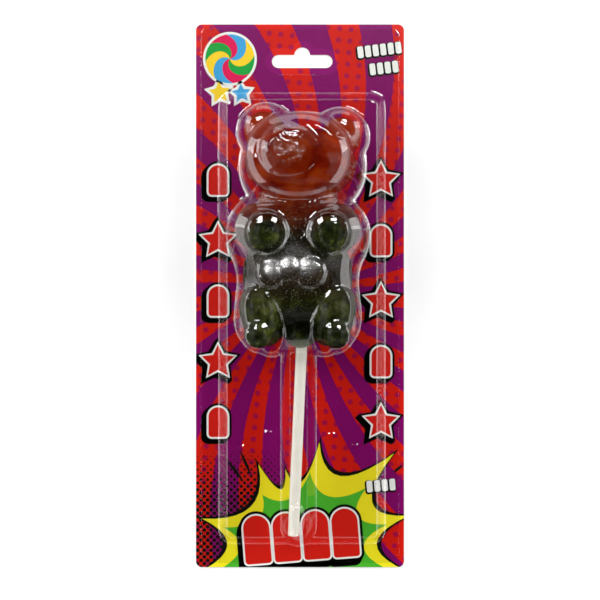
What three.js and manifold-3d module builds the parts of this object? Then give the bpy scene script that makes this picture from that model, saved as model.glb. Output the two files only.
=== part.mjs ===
// A giant two-tone gummy bear on a stick, held in a clear blister on a printed hang card.
// Millimetres. The pack lies on its back: X runs right across the printed face, Y up the card,
// Z out of it. The origin is the middle of the card's back.

import * as THREE from 'three';
import { mergeVertices } from 'three/addons/utils/BufferGeometryUtils.js';
import Module from 'manifold-3d';

const wasm = await Module();
wasm.setup();

// Driving dimensions.
const CARD = { width: 105, height: 274, thickness: 0.6, corner: 3 };
const SLOT = { x: 1.1, y: 118.3, width: 30.6, height: 6.6, bumpRadius: 4, bumpRise: 3.1 };
const FLANGE = { border: 2.3, thickness: 0.4, gap: 0.3, slotMargin: 3.3 };
const WALL = 0.4;
const TRAY = { x: 1.0, y: -11.4, width: 83.8, height: 227.4, corner: 7, draft: 4.2, top: 9 };
const CHANNEL = { x: -0.7, topY: -12, bottomY: -126, halfWidth: 10.7, draft: 6.4, top: 24.6 };
const NUB = {
  radius: 2.1, topRadius: 1.25, rise: 1.8, shoulder: 0.9, foot: -2, sides: 10,
  places: [[-16, -70.9], [-27.4, -77.9], [16, -71.9], [27.9, -77.4]],
};
const BEAR_BACK = CARD.thickness + 0.3;
const STICK = { radius: 2.7, chamfer: 0.4, sides: 20, top: [1.84, 0, 20.2], end: [-3.3, -118.6, 15.6] };
const CLEARANCE = 0.3;

const FLANGE_BACK = CARD.thickness + FLANGE.gap;

// Levels and sizes that only help the cutting and stay out of the finished solids.
const BELOW = -5;
const CUTTER = { width: 400, depth: 100 };
const EDGE_DEPTH = 0.01;

// How finely round outlines and round walls are faced.
const OUTLINE_STEPS = 6;
const PANEL_OUTLINE_STEPS = 5;
const TRAY_WALL_STEPS = 3;
const CHANNEL_WALL_STEPS = 4;
const DOME_STEPS = 5;

// The blister's domes over the bear: centre, half width, half height, and height above the back.
// Each is a superellipse, steep at the foot and round on top. Its plan is an ellipse at square 2,
// and squarer above that.
const DOMES = {
  head: { x: 0, y: 70.4, rx: 30.4, ry: 21.6, top: 43.5, square: 2.8, sides: 28 },
  earLeft: { x: -18.9, y: 85, rx: 11.6, ry: 12, top: 33, square: 2, sides: 18 },
  earRight: { x: 21.4, y: 81.6, rx: 11.8, ry: 12, top: 33, square: 2, sides: 18 },
  snout: { x: -4.8, y: 66.8, rx: 12.8, ry: 12.8, top: 46, square: 2, sides: 18 },
  neck: { x: -0.6, y: 49, rx: 27, ry: 20, top: 42, square: 2.2, sides: 24 },
  armLeft: { x: -22.2, y: 35.4, rx: 12.9, ry: 15.6, top: 39.5, square: 2, sides: 18 },
  armRight: { x: 22.7, y: 35.4, rx: 13.7, ry: 15.8, top: 39.5, square: 2, sides: 18 },
  pawLeft: { x: -16, y: 31, rx: 10.8, ry: 10.8, top: 45.5, square: 2, sides: 16 },
  pawRight: { x: 13.5, y: 30.2, rx: 10.8, ry: 10.8, top: 45.5, square: 2, sides: 16 },
  body: { x: -0.7, y: 12, rx: 29.6, ry: 39, top: 43.5, square: 3, sides: 28 },
  legLeft: { x: -18.7, y: -10, rx: 12.4, ry: 17.6, top: 39, square: 2, sides: 18 },
  legRight: { x: 16.6, y: -10, rx: 12.8, ry: 17.6, top: 39, square: 2, sides: 18 },
  footLeft: { x: -20, y: -16.4, rx: 9.6, ry: 9.8, top: 43, square: 2, sides: 16 },
  footRight: { x: 17.8, y: -16.4, rx: 9.6, ry: 9.8, top: 43, square: 2, sides: 16 },
  seat: { x: 0.2, y: -15, rx: 13, ry: 13.2, top: 37, square: 2.4, sides: 20 },
};
const DOME_WALL_POWER = 4.5;
const DOME_TOP_POWER = 2.2;

// The bear's rounded masses: centre, radii, turn in degrees about Z, and how finely they are faced.
const BEAR = {
  head: { at: [-1, 67.6, 20.5], radii: [26, 19.8, 20.8], turn: -3, detail: 4 },
  earLeft: { at: [-17.8, 80.6, 20], radii: [8.4, 8.6, 10], turn: 0, detail: 2 },
  earRight: { at: [19.6, 78.4, 20], radii: [8.4, 8.6, 10], turn: 0, detail: 2 },
  snout: { at: [-4.8, 66.8, 32.8], radii: [10.6, 10.6, 11.6], turn: 0, detail: 3 },
  neck: { at: [-1, 48.5, 19.5], radii: [20.5, 10, 18.5], turn: 0, detail: 3 },
  chest: { at: [-1, 31.5, 20], radii: [25.6, 20, 20.5], turn: 0, detail: 3 },
  belly: { at: [-1, 9, 20.5], radii: [25.4, 24.5, 21.2], turn: 0, detail: 4 },
  armLeft: { at: [-19.6, 34.5, 24], radii: [9.6, 12.6, 13.4], turn: 18, detail: 3 },
  armRight: { at: [18, 34.3, 24], radii: [9.6, 12.6, 13.4], turn: -18, detail: 3 },
  pawLeft: { at: [-15.8, 31, 34], radii: [8, 8, 9], turn: 0, detail: 2 },
  pawRight: { at: [13.5, 30.2, 34], radii: [8, 8, 9], turn: 0, detail: 2 },
  legLeft: { at: [-17.2, -7, 21.5], radii: [9.6, 16.4, 15], turn: 6, detail: 3 },
  legRight: { at: [15, -7, 21.5], radii: [9.6, 16.4, 15], turn: -6, detail: 3 },
  footLeft: { at: [-19.2, -16.6, 31.5], radii: [6.8, 7, 8.4], turn: 0, detail: 2 },
  footRight: { at: [17, -16.6, 31.5], radii: [6.8, 7, 8.4], turn: 0, detail: 2 },
  collar: { at: [0.4, -17.6, 20], radii: [9, 7.8, 10], turn: 0, detail: 2 },
};

// A closed three.js geometry as a solid, with its seams joined and its empty triangles dropped.
function solid(geometry) {
  const plain = geometry.index ? geometry.clone() : geometry;
  plain.deleteAttribute('normal');
  plain.deleteAttribute('uv');
  const merged = mergeVertices(plain, 1e-4);
  const corners = merged.index.array;
  const kept = [];
  for (let i = 0; i < corners.length; i += 3) {
    const [a, b, c] = corners.slice(i, i + 3);
    if (a !== b && b !== c && c !== a) kept.push(a, b, c);
  }
  return new wasm.Manifold(new wasm.Mesh({
    numProp: 3,
    vertProperties: Float32Array.from(merged.attributes.position.array),
    triVerts: Uint32Array.from(kept),
  }));
}

function geometryOf(body) {
  const mesh = body.getMesh();
  const geometry = new THREE.BufferGeometry();
  geometry.setAttribute('position', new THREE.BufferAttribute(Float32Array.from(mesh.vertProperties), 3));
  geometry.setIndex(new THREE.BufferAttribute(Uint32Array.from(mesh.triVerts), 1));
  geometry.computeVertexNormals();
  return geometry;
}

function joined(bodies) {
  return bodies.reduce((whole, body) => whole.add(body));
}

// Rounded rectangle about a centre.
function roundedRectangle(x, y, width, height, corner) {
  const right = x + width / 2 - corner;
  const left = x - width / 2 + corner;
  const upper = y + height / 2 - corner;
  const lower = y - height / 2 + corner;
  const shape = new THREE.Shape();
  shape.absarc(right, upper, corner, 0, Math.PI / 2);
  shape.absarc(left, upper, corner, Math.PI / 2, Math.PI);
  shape.absarc(left, lower, corner, Math.PI, 1.5 * Math.PI);
  shape.absarc(right, lower, corner, 1.5 * Math.PI, 2 * Math.PI);
  shape.closePath();
  return shape;
}

// Hanging slot: a bar with round ends and a round bump in the middle of its upper edge.
function hangingSlot(margin) {
  const radius = SLOT.height / 2 + margin;
  const reach = SLOT.width / 2 + margin - radius;
  const bump = SLOT.bumpRadius + margin;
  const start = Math.asin((radius - SLOT.bumpRise) / bump);
  const path = new THREE.Path();
  path.absarc(SLOT.x + reach, SLOT.y, radius, -Math.PI / 2, Math.PI / 2);
  path.absarc(SLOT.x, SLOT.y + SLOT.bumpRise, bump, start, Math.PI - start);
  path.absarc(SLOT.x - reach, SLOT.y, radius, Math.PI / 2, 1.5 * Math.PI);
  path.closePath();
  return path;
}

// A flat sheet cut to a shape, from its back level up.
function sheet(shape, back, thickness) {
  const geometry = new THREE.ExtrudeGeometry(shape, {
    depth: thickness,
    bevelEnabled: false,
    curveSegments: OUTLINE_STEPS,
  });
  return solid(geometry.translate(0, 0, back));
}

// A block that reaches past everything sideways and ends at a level.
function allBelow(level) {
  const { width, depth } = CUTTER;
  return solid(new THREE.BoxGeometry(width, width, depth).translate(0, 0, level - depth / 2));
}

// A raised panel whose wall leans in by its draft as it rises, rounding over to a flat top.
function raisedPanel(shape, back, top, draft, steps) {
  const geometry = new THREE.ExtrudeGeometry(shape, {
    depth: EDGE_DEPTH,
    bevelThickness: top - back,
    bevelSize: draft,
    bevelOffset: -draft,
    bevelSegments: steps,
    curveSegments: PANEL_OUTLINE_STEPS,
  });
  return solid(geometry.translate(0, 0, back)).subtract(allBelow(back));
}

// Pushes a round plan out towards its corners, from a circle at power 2.
function squarePlan(geometry, power) {
  const { position } = geometry.attributes;
  for (let i = 0; i < position.count; i += 1) {
    const x = position.getX(i);
    const y = position.getY(i);
    const radius = Math.hypot(x, y);
    if (radius < 1e-6) continue;
    const reach = ((Math.abs(x) / radius) ** power + (Math.abs(y) / radius) ** power) ** (-1 / power);
    position.setXY(i, x * reach, y * reach);
  }
}

// A profile of radius and height pairs, turned about the Y axis.
function lathe(profile, sides) {
  return new THREE.LatheGeometry(profile.map(([radius, y]) => new THREE.Vector2(radius, y)), sides);
}

// One dome of the blister, pulled in by an inset for the inside face.
function dome({ x, y, rx, ry, top, square, sides }, back, inset) {
  const rise = top - inset - FLANGE_BACK;
  const profile = [[0, back], [1, back]];
  for (let i = 0; i < DOME_STEPS; i += 1) {
    const level = Math.sin((i / DOME_STEPS) * Math.PI / 2);
    const radius = (1 - level ** DOME_TOP_POWER) ** (1 / DOME_WALL_POWER);
    if (i > 0 || back < FLANGE_BACK) profile.push([radius, FLANGE_BACK + level * rise]);
  }
  profile.push([0, FLANGE_BACK + rise]);
  const geometry = lathe(profile, sides);
  geometry.rotateX(Math.PI / 2);
  squarePlan(geometry, square);
  geometry.scale(rx - inset, ry - inset, 1);
  return solid(geometry.translate(x, y, 0));
}

// Plan of the ridge over the stick: a long bar with round ends.
function channelOutline(inset) {
  const radius = CHANNEL.halfWidth - inset;
  const shape = new THREE.Shape();
  shape.absarc(CHANNEL.x, CHANNEL.topY - CHANNEL.halfWidth, radius, 0, Math.PI);
  shape.absarc(CHANNEL.x, CHANNEL.bottomY + CHANNEL.halfWidth, radius, Math.PI, 2 * Math.PI);
  shape.closePath();
  return shape;
}

// Everything that stands up from the flange, from a back level, with all faces pulled in by an inset.
function raisedForms(back, inset) {
  const tray = roundedRectangle(
    TRAY.x, TRAY.y, TRAY.width - 2 * inset, TRAY.height - 2 * inset, TRAY.corner - inset);
  const forms = [
    raisedPanel(tray, back, TRAY.top - inset, TRAY.draft, TRAY_WALL_STEPS),
    raisedPanel(channelOutline(inset), back, CHANNEL.top - inset, CHANNEL.draft, CHANNEL_WALL_STEPS),
  ];
  for (const form of Object.values(DOMES)) forms.push(dome(form, back, inset));
  for (const [x, y] of NUB.places) forms.push(nub(x, y, inset));
  return joined(forms);
}

// A small round stud on the tray's flat top.
function nub(x, y, inset) {
  const radius = NUB.radius - inset;
  const foot = TRAY.top + NUB.foot;
  const shoulder = TRAY.top + NUB.shoulder - inset;
  const top = TRAY.top + NUB.rise - inset;
  const geometry = lathe([
    [0, foot], [radius, foot], [radius, shoulder], [NUB.topRadius - inset, top], [0, top],
  ], NUB.sides);
  return solid(geometry.rotateX(Math.PI / 2).translate(x, y, 0));
}

// Clear shell: its flange with all raised forms, hollowed from behind by one wall.
function blister() {
  const outline = roundedRectangle(
    0, 0, CARD.width - 2 * FLANGE.border, CARD.height - 2 * FLANGE.border, CARD.corner);
  outline.holes.push(hangingSlot(FLANGE.slotMargin));
  return sheet(outline, FLANGE_BACK, FLANGE.thickness)
    .add(raisedForms(FLANGE_BACK, 0))
    .subtract(raisedForms(BELOW, WALL));
}

// Printed board with the hanging slot.
function card() {
  const outline = roundedRectangle(0, 0, CARD.width, CARD.height, CARD.corner);
  outline.holes.push(hangingSlot(0));
  return sheet(outline, 0, CARD.thickness);
}

// Turns a shape made about the Y axis so that it runs from the stick's end to its top.
function alongStick(geometry) {
  const end = new THREE.Vector3(...STICK.end);
  const direction = new THREE.Vector3(...STICK.top).sub(end).normalize();
  const turn = new THREE.Quaternion().setFromUnitVectors(new THREE.Vector3(0, 1, 0), direction);
  return geometry.applyQuaternion(turn).translate(end.x, end.y, end.z);
}

function stickLength() {
  return new THREE.Vector3(...STICK.top).distanceTo(new THREE.Vector3(...STICK.end));
}

// Round stick with small chamfers at both ends.
function stick() {
  const { radius, chamfer } = STICK;
  const length = stickLength();
  return solid(alongStick(lathe([
    [0, 0], [radius - chamfer, 0], [radius, chamfer],
    [radius, length - chamfer], [radius - chamfer, length], [0, length],
  ], STICK.sides)));
}

// The hole that the stick sits in, a little larger than the stick.
function socket() {
  const radius = STICK.radius + CLEARANCE;
  const length = stickLength() + CLEARANCE;
  return solid(alongStick(lathe([[0, 0], [radius, 0], [radius, length], [0, length]], STICK.sides)));
}

// One rounded mass of the bear.
function mass({ at, radii, turn, detail }) {
  const geometry = new THREE.IcosahedronGeometry(1, detail);
  geometry.scale(...radii);
  geometry.rotateZ(THREE.MathUtils.degToRad(turn));
  return solid(geometry.translate(...at));
}

// One cast body, flat where it lies on the card, with a blind hole for the stick.
function gummyBear() {
  return joined(Object.values(BEAR).map(mass)).subtract(allBelow(BEAR_BACK)).subtract(socket());
}

function piece(name, body, material) {
  const mesh = new THREE.Mesh(geometryOf(body), new THREE.MeshStandardMaterial(material));
  mesh.name = name;
  return mesh;
}

const pack = new THREE.Group();
pack.add(piece('card', card(), { color: 0xc8281e, roughness: 0.45, metalness: 0 }));
pack.add(piece('blister', blister(), {
  color: 0xf2f6f8, roughness: 0.08, metalness: 0, transparent: true, opacity: 0.3,
}));
pack.add(piece('gummy_bear', gummyBear(), { color: 0x4a1c0c, roughness: 0.25, metalness: 0 }));
pack.add(piece('stick', stick(), { color: 0xebe8de, roughness: 0.55, metalness: 0 }));

export default pack;
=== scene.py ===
"""Looks of a giant two-tone gummy bear on a stick, in a clear blister on a printed hanging card.

The pack lies on its back: X runs right across the printed face, Y up the card, Z out of it.
Tables are in millimetres, and MM turns them into Blender's metres.
"""

from math import asin, atan2, cos, degrees, dist, hypot, pi, radians, sin, tan

import bmesh
import bpy
import numpy as np
from mathutils import Matrix, Vector, noise


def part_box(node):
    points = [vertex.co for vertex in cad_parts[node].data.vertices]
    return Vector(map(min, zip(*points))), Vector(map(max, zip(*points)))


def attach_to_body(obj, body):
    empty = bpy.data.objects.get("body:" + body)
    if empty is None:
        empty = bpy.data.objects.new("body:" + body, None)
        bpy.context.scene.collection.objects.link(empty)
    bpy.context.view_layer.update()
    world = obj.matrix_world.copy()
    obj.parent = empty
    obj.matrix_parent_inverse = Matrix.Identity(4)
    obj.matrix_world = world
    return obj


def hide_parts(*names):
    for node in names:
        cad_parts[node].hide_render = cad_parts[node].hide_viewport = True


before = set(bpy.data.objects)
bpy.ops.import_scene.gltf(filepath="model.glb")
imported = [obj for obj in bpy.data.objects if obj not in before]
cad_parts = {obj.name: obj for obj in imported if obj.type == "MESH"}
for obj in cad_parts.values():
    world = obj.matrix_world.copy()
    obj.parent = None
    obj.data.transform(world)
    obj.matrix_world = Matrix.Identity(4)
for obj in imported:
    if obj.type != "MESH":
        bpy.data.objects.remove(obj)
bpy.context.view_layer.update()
MM = 0.001

# Sizes read from the frame, in millimetres.
CARD_LOW, CARD_HIGH = [[value / MM for value in corner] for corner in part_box("card")]
CARD_WIDTH = CARD_HIGH[0] - CARD_LOW[0]
CARD_HEIGHT = CARD_HIGH[1] - CARD_LOW[1]
CARD_FRONT = CARD_HIGH[2]
FLANGE_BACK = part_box("blister")[0][2] / MM

# Sizes shared with the solids. A cutter reaches clear of all of them.
CARD_CORNER = 3.0
SLOT = {"x": 1.1, "y": 118.3, "width": 30.6, "height": 6.6, "bump": 4.0, "rise": 3.1}
FLANGE_FRONT = FLANGE_BACK + 0.4
FLANGE_BORDER = 2.3
SLOT_MARGIN = 3.3
FILM = 0.38
TRAY = {"x": 1.0, "y": -11.4, "width": 83.8, "height": 227.4, "corner": 7.0, "draft": 4.2, "top": 9.0}
CHANNEL = {"x": -0.7, "top_y": -12, "bottom_y": -126, "half": 10.7, "draft": 6.4, "top": 24.6}
STICK = {"radius": 2.7, "top": (1.84, 0.0, 20.2), "end": (-3.3, -118.6, 15.6), "rounding": 0.45}
STICK_LENGTH = dist(STICK["top"], STICK["end"])
STICK_SIDES = 48
SOCKET_GAP = 0.3
BEAR_BACK = CARD_FRONT + 0.3
CLEAR = 90

# The cup about the stick's end, longer below its middle than above, and the bumps on the tray.
CUP = {"x": -1.6, "y": -107, "half": 3.9, "low": 3.4, "high": 1.6, "draft": 1.0, "top": 26.4}
BUMPS = {"radius": 4.0, "rise": 0.85, "places": ((-16, -70.9), (-27.4, -77.9), (16, -71.9), (27.9, -77.4))}

# The blister's domes, measured at the lower edge of each dome's leaning flank: centre, half width,
# half height, turn in degrees, top, how square the plan is, how far the flank reaches in, the
# radius that turns it over, and the crown's slope in degrees.
DOMES = {
    "head": (-1.2, 67.4, 25, 20.5, 0, 42.4, 2.15, 4.4, 3.0, 3),
    "ear_left": (-17.4, 83.2, 9.8, 9.8, 0, 33, 2, 3.0, 7.0, 13),
    "ear_right": (19.8, 80.8, 10, 9.8, 0, 33, 2, 3.0, 7.0, 13),
    "snout": (-4.3, 68.9, 14.8, 14, 0, 44.8, 2, 4.4, 1.2, 2),
    "paw_left": (-15.9, 30, 9.8, 10.2, 0, 41.2, 2, 0.3, 1.5, 17),
    "paw_right": (13.9, 30, 9.8, 10.2, 0, 41.2, 2, 0.3, 1.5, 17),
    "belly": (-1.2, 13, 18.5, 16.6, 0, 39, 2.1, 0.2, 5.0, 4),
    "lobe_left": (-14.2, 10.6, 6.4, 6.8, 0, 40.2, 2, 0.1, 0.8, 14),
    "lobe_middle": (-5.6, 13.2, 5.0, 5.6, 0, 40, 2, 0.1, 0.8, 13),
    "lobe_right": (4.8, 11.2, 7.2, 7.4, 0, 40.5, 2, 0.6, 1.2, 10),
    "leg_left": (-17.4, -12, 8.6, 16.4, 17, 39.5, 2.1, 0.2, 4.0, 7),
    "leg_right": (15.2, -12, 8.6, 16.4, -17, 39.3, 2.1, 0.2, 4.0, 7),
    "foot_left": (-19.6, -19.2, 7.0, 6.8, 0, 41, 2, 0.2, 1.0, 21),
    "foot_right": (17.2, -19.4, 7.0, 6.8, 0, 41, 2, 0.2, 1.0, 21),
}
# A flank's slope at its lower and upper edge.
FLANK_SLOPES = (radians(42), radians(24))
# The rounding below the flank, the lean of the walls from upright in degrees, and the hollow
# rounding at their foot. The second value of each pair is for the domes that aren't named.
LIP = 0.9
WALL_LEAN = ({"head": 10.5, "trunk": 10.5, "ear_left": 10.5, "ear_right": 10.5}, 3.5)
FOOT_RADIUS = ({"head": 2.6, "trunk": 2.4, "ear_left": 2.2, "ear_right": 2.2}, 1.0)
# How steeply some tops fall to the right and up the card, in degrees, and the heights between
# which the fall sets in.
TOP_LEAN = {
    "snout": (7, 0), "leg_left": (-4, 0), "leg_right": (4, 0),
    "lobe_left": (-4, 7), "lobe_middle": (-4, 6), "lobe_right": (-3, 5),
}
LEAN_HEIGHTS = (24, 34)
# The snout's flank is this much narrower on its right.
SNOUT_RIGHT = 0.35
# How far the foot of some domes sits to the right of and above its upper part.
FOOT_SHIFT = {"head": (2.6, -3.0), "ear_left": (0.4, -1.6), "ear_right": (0.0, -1.6)}

# The trunk's outline at the lower edge of its flank: place up the card, reach left and right.
TRUNK_ROWS = (
    (47, 22.6, 19.2), (43, 27.4, 24.4), (39, 30.3, 27.6), (35, 32.2, 29.9), (30, 33, 31),
    (26, 32, 30.4), (22, 29.2, 27.4), (17, 27.4, 25.2), (12, 27, 24.8), (4, 27.8, 25.6),
    (-4, 29.2, 27), (-11, 30.2, 28), (-17, 30.2, 27.8), (-21.5, 28.8, 26.2), (-25, 25.2, 22.6),
)
TRUNK_TOP = ((8, 50), (-11, 50))
TRUNK_BOTTOM = ((-14, -26.6), (12, -26.6))
TRUNK = {"middle": (-1.2, 11), "top": 38, "flank": 6.6, "turn": 2.6, "reach": 18, "crown": 1.2}
# Place up the card, and the share of the walls' full spread that they have there.
TRUNK_SPREAD = ((-30, 0.3), (-18, 0.5), (8, 0.55), (22, 1.0))

# The bear's rounded masses: centre, radii and turn in degrees about Z.
BEAR = {
    "head": ((0.1, 64.8, 20.5), (27.5, 18, 20.8), -3),
    "ear_left": ((-17.6, 80.6, 20), (10.2, 9.8, 10), 0),
    "ear_right": ((20.1, 77.9, 20), (9.7, 9.7, 10), 0),
    "snout": ((-4.3, 68.4, 31.5), (11.2, 11.2, 12), 0),
    "neck": ((-1, 48.5, 19), (19.5, 10, 15.5), 0),
    "chest": ((-1, 31.5, 20), (28, 20, 15.5), 0),
    "belly": ((-1.2, 10, 20.5), (27.1, 26, 15.8), 0),
    "lobes": ((-1.4, 12.5, 24), (20, 16, 14.4), 0),
    "arm_left": ((-20.3, 32.9, 22), (11.3, 12.6, 13.4), 18),
    "arm_right": ((18.2, 32.6, 22), (11.3, 12.5, 13.4), -18),
    "paw_left": ((-16.2, 29.8, 31.2), (8.8, 9.6, 9.2), 0),
    "paw_right": ((14.3, 29.8, 31.2), (8.8, 9.6, 9.2), 0),
    "leg_left": ((-18.2, -9, 21.5), (11.4, 16.2, 16), 14),
    "leg_right": ((16, -9, 21.5), (11.4, 16.2, 16), -14),
    "foot_left": ((-20, -18.4, 30.6), (7.2, 7.2, 9.6), 0),
    "foot_right": ((17.4, -18.6, 30.6), (7.2, 7.2, 9.6), 0),
    "collar": ((0.4, -17.6, 20), (8.6, 8.2, 10), 0),
}

# Where the jelly is uneven: centre, reach, and how high its lumps stand.
LUMPS = (
    ((-4.8, 66.6, 42), 12, 0.75), ((-16.4, 29.8, 40), 11, 0.6), ((14.6, 29.6, 40), 11, 0.6),
    ((-19.6, -14, 36), 14, 0.45), ((17.6, -14, 36), 14, 0.45), ((-1, 12, 36), 20, 0.3),
)
LUMP_PITCH = 4.2
LUMPS_EVERYWHERE = 0.14

# How finely the jelly and the film are meshed, and how often each is smoothed.
JELLY_VOXEL = 0.62
JELLY_PASSES = 22
FILM_VOXEL = 0.7
FORM_PASSES = 4
FILM_PASSES = 3
# The film's edges sharper than this many degrees are shaded sharp.
FILM_SHARP = 50
# How far domes and panels reach into what they stand on, and how far the slab for the flange
# reaches past the card and behind the flange.
SUNK = 2.0
SLAB_BORDER = 16
SLAB_DEPTH = 2.4

# Round columns in which a surface differs: middle, radius, and half the width of the soft edge.
FILM_SPOTS = {
    "shoulders": ((-20, 44, 6, 5), (17, 44, 6, 5)),
    "legs": ((-17.5, -8, 7, 5), (15.5, -8, 7, 5)),
    "ears": ((-18, 82, 6, 3), (20, 79, 6, 3)),
    "belly": ((-4.5, 12.5, 14, 3),),
    "muzzle": ((-5.5, 70.5, 8, 3),),
    "chest": ((-1, 30, 8, 6),),
    "crotch": ((0.3, -17, 7, 6),),
    "creases": ((-9, -12, 5, 3), (8, -12, 5, 3)),
    "lobe_rims": ((-4.5, 4, 16, 3),),
    "paw_rims": ((-20.8, 27, 4.6, 1.4), (19, 27, 4.6, 1.4)),
    "chin_and_side": ((-1.5, 57.5, 10, 2), (-26, 13, 7, 3)),
}
JELLY_SPOTS = {
    "paws": ((-16.4, 29, 9.5, 3.5), (14.6, 28.8, 9.5, 3.5)),
    "crotch": ((0.3, -14, 6.5, 7),),
    "collar": ((0.3, -27, 5.4, 2.0),),
    "thigh_highlights": ((-18.5, -5, 5, 6), (16.5, -6, 4, 6)),
    "muzzle": ((-4.8, 66.6, 10.2, 0.8),),
    "outside_crease": ((-4.8, 66.8, 13, 1.2),),
    "inside_crease": ((-4.8, 66.8, 11, 1.2),),
    "ears": ((-19, 82, 7, 3), (21, 79, 8, 3)),
    "specked": ((-1, 34, 9, 8), (-1, 12, 18, 5)),
}
# Levels up the card between which the jelly turns from one colour to the next.
GREEN_ROWS = (0.004, -0.006)
RUSSET_ROWS = (0.028, 0.045)
RED_ROWS = (0.038, 0.053)
SMOOTH_ROWS = (0.044, 0.036)

# Colours as a screen shows them, 0 to 255, some with their place on a ramp.
JELLY_RED = ((0.34, (90, 8, 0)), (0.5, (116, 24, 1)), (0.66, (138, 44, 5)))
JELLY_BROWN = ((0.35, (18, 12, 4)), (0.7, (42, 31, 12)))
JELLY_GREEN = ((0.38, (6, 8, 2)), (0.52, (30, 38, 10)), (0.64, (80, 88, 34)))
JELLY_TINTS = {
    # The crotch tint is painted shade: near black between the legs.
    # The thigh tint is painted highlight: pale olive mottle on the thighs.
    "crotch": (1, 1, 0), "collar": (58, 68, 24), "thigh_highlights": (96, 100, 50), "muzzle": (112, 34, 8),
    # The crease tint is painted shade: a darker red ring round the muzzle.
    "crease_shade": (72, 12, 1), "ears": (150, 44, 14), "specks": (168, 168, 150),
}
FILM_TINTS = ((0.99, 0.99, 0.985), (0.945, 0.94, 0.94))
BOARD_FIBRE = ((0.3, (208, 203, 194)), (0.7, (228, 225, 217)))
BOARD_CLOUD = (214, 210, 202)
STICK_PAPER = ((0.3, (234, 231, 216)), (0.7, (247, 244, 232)))
RED = (200, 26, 14)
PURPLE = (122, 6, 94)
DOT_RED = (156, 12, 62)
BLACK = (14, 14, 12)
WHITE = (232, 234, 230)
YELLOW = (232, 220, 34)
GREEN = (72, 172, 44)
TILE_RED = (204, 30, 20)
GOLD = (240, 204, 44)
SKY_BLUE = (64, 160, 214)
SWIRL_COLOURS = ((214, 20, 84), (28, 158, 62), GOLD, SKY_BLUE)

# The print. A level is a step of ink above the card.
INK_STEP = 0.03
INK_MOTTLE = 0.08
RAYS = {
    "x": 1.1, "y": 3.5, "pairs": 24, "start": 0.0425, "unit": 101, "twist": 0.149, "more_twist": 0.073,
}
RAY_REACH = (2, 192)
DOT = {"pitch": 5.85, "turn": -5.5, "radius": 1.36, "x": 25.2, "y": 128.6}
# The halftone's dots shrink up the card above the first row and to the right of the first column.
HALFTONE = {"pitch": 2.4, "turn": 45, "x": -50, "y": -120, "radius": 1.02, "least": 0.24}
HALFTONE_TOP = (-76, 28)
HALFTONE_RIGHT = (-4, 14)
BURST_MIDDLE = (0.0, -126)
BURST_TIPS = (
    (-54, -141), (-49.5, -112.5), (-21, -85), (-7.4, -87.5),
    (9.8, -74), (47.5, -79.5), (55, -111), (54, -139),
)
CORE_TIPS = ((-42, -139), (-38.5, -117), (-19, -100.5), (5, -89), (33.5, -97), (44, -115.5), (42, -137))
BURST_PINCH = 0.42
CORE_PINCH = 0.5
BURST_EDGE = (3.4, 1.2)
# Dark streaks about the burst: middle, length and turn in degrees.
STREAKS = ((-27.4, -84.6, 15.5, 24), (-33, -88, 17.5, 38), (49.5, -87.4, 6.5, -52))
STREAK_WIDTH = 1.5
HEADLINE = {
    "x": 0.6, "y": -121.4, "count": 4, "step": 14.9, "tilt": 4.5, "size": (13.2, 24.4),
    "growths": (2.2, 0.9, 0), "shadow": (-1.2, -2.6),
}
TILES = {
    "columns": (-41.4, 40.9), "top": 58.4, "step": 30.55, "rows": 5, "gumdrop": (9.6, 15), "star": 15.5,
    "growths": (2.1, 0.95, 0), "shadow": (-1.7, -1.5),
}
# Rows of small blocks: middle, count and tilt in degrees.
MARK_ROWS = ((40.1, 124.1, 6, 7), (42.4, 115, 4, 7), (40.9, -95.8, 4, 5))
MARK = {"size": (2.9, 5.9), "step": 3.85, "edge": 0.6, "edge_shift": (-0.3, -0.4)}
SWIRL = {
    "place": (-35.4, 119.6), "rim": 13.6, "radius": 12.4, "blades": 8, "turn": 12, "lean": 1.5, "bend": 1.1,
}
BADGE_STARS = (("yellow_star", -40.6, 102.6, 5.6, GOLD), ("blue_star", -29.6, 102.2, 5.0, SKY_BLUE))
BADGE_STAR_TILT = 6

# The camera above the card and the lights about it, in millimetres.
CAMERA_HEIGHT = 700
PICTURE_WIDTH = 303
PICTURE_CENTRE = (0.0, -2.15)
SENSOR = 36
# Lights: direction round and up, width and height, all in degrees, then brightness and distance
# in metres.
LIGHTS = {
    "left_window": (192, 24, 60, 34, 2.8, 0.9),
    "right_window": (-12, 24, 60, 34, 2.8, 0.9),
    "left_pane": (156, 23, 20, 34, 5.0, 0.85),
    "right_pane": (24, 23, 20, 34, 5.0, 0.85),
    "top_window": (88, 20, 50, 20, 2.4, 0.9),
    "bottom_window": (270, 22, 60, 20, 1.7, 0.9),
    "lamp_left": (122, 62, 9, 7, 30, 0.9),
    "lamp_right": (66, 62, 9, 7, 30, 0.9),
    "lamp_side": (168, 52, 5, 5, 20, 0.9),
}
LIGHTS_AIM = (0, 0.02, 0.03)
# The surroundings' grey from the horizon up to the zenith, and their strength.
SKY_STOPS = ((0.0, 1.0), (0.35, 0.25), (0.8, 0.01))
SKY_STRENGTH = 0.9


# Meshes

def new_object(name, mesh):
    piece = bpy.data.objects.new(name, mesh)
    bpy.context.scene.collection.objects.link(piece)
    return piece


def object_from(name, bm):
    mesh = bpy.data.meshes.new(name)
    bmesh.ops.recalc_face_normals(bm, faces=bm.faces)
    bm.normal_update()
    bm.to_mesh(mesh)
    bm.free()
    return new_object(name, mesh)


def shape_with(piece, kind, **settings):
    """Applies one modifier to a piece's mesh."""
    modifier = piece.modifiers.new(kind.lower(), kind)
    for key, value in settings.items():
        setattr(modifier, key, value)
    bpy.context.view_layer.update()
    graph = bpy.context.evaluated_depsgraph_get()
    mesh = bpy.data.meshes.new_from_object(piece.evaluated_get(graph))
    piece.modifiers.clear()
    old = piece.data
    piece.data = mesh
    bpy.data.meshes.remove(old)
    mesh.name = piece.name


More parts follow.
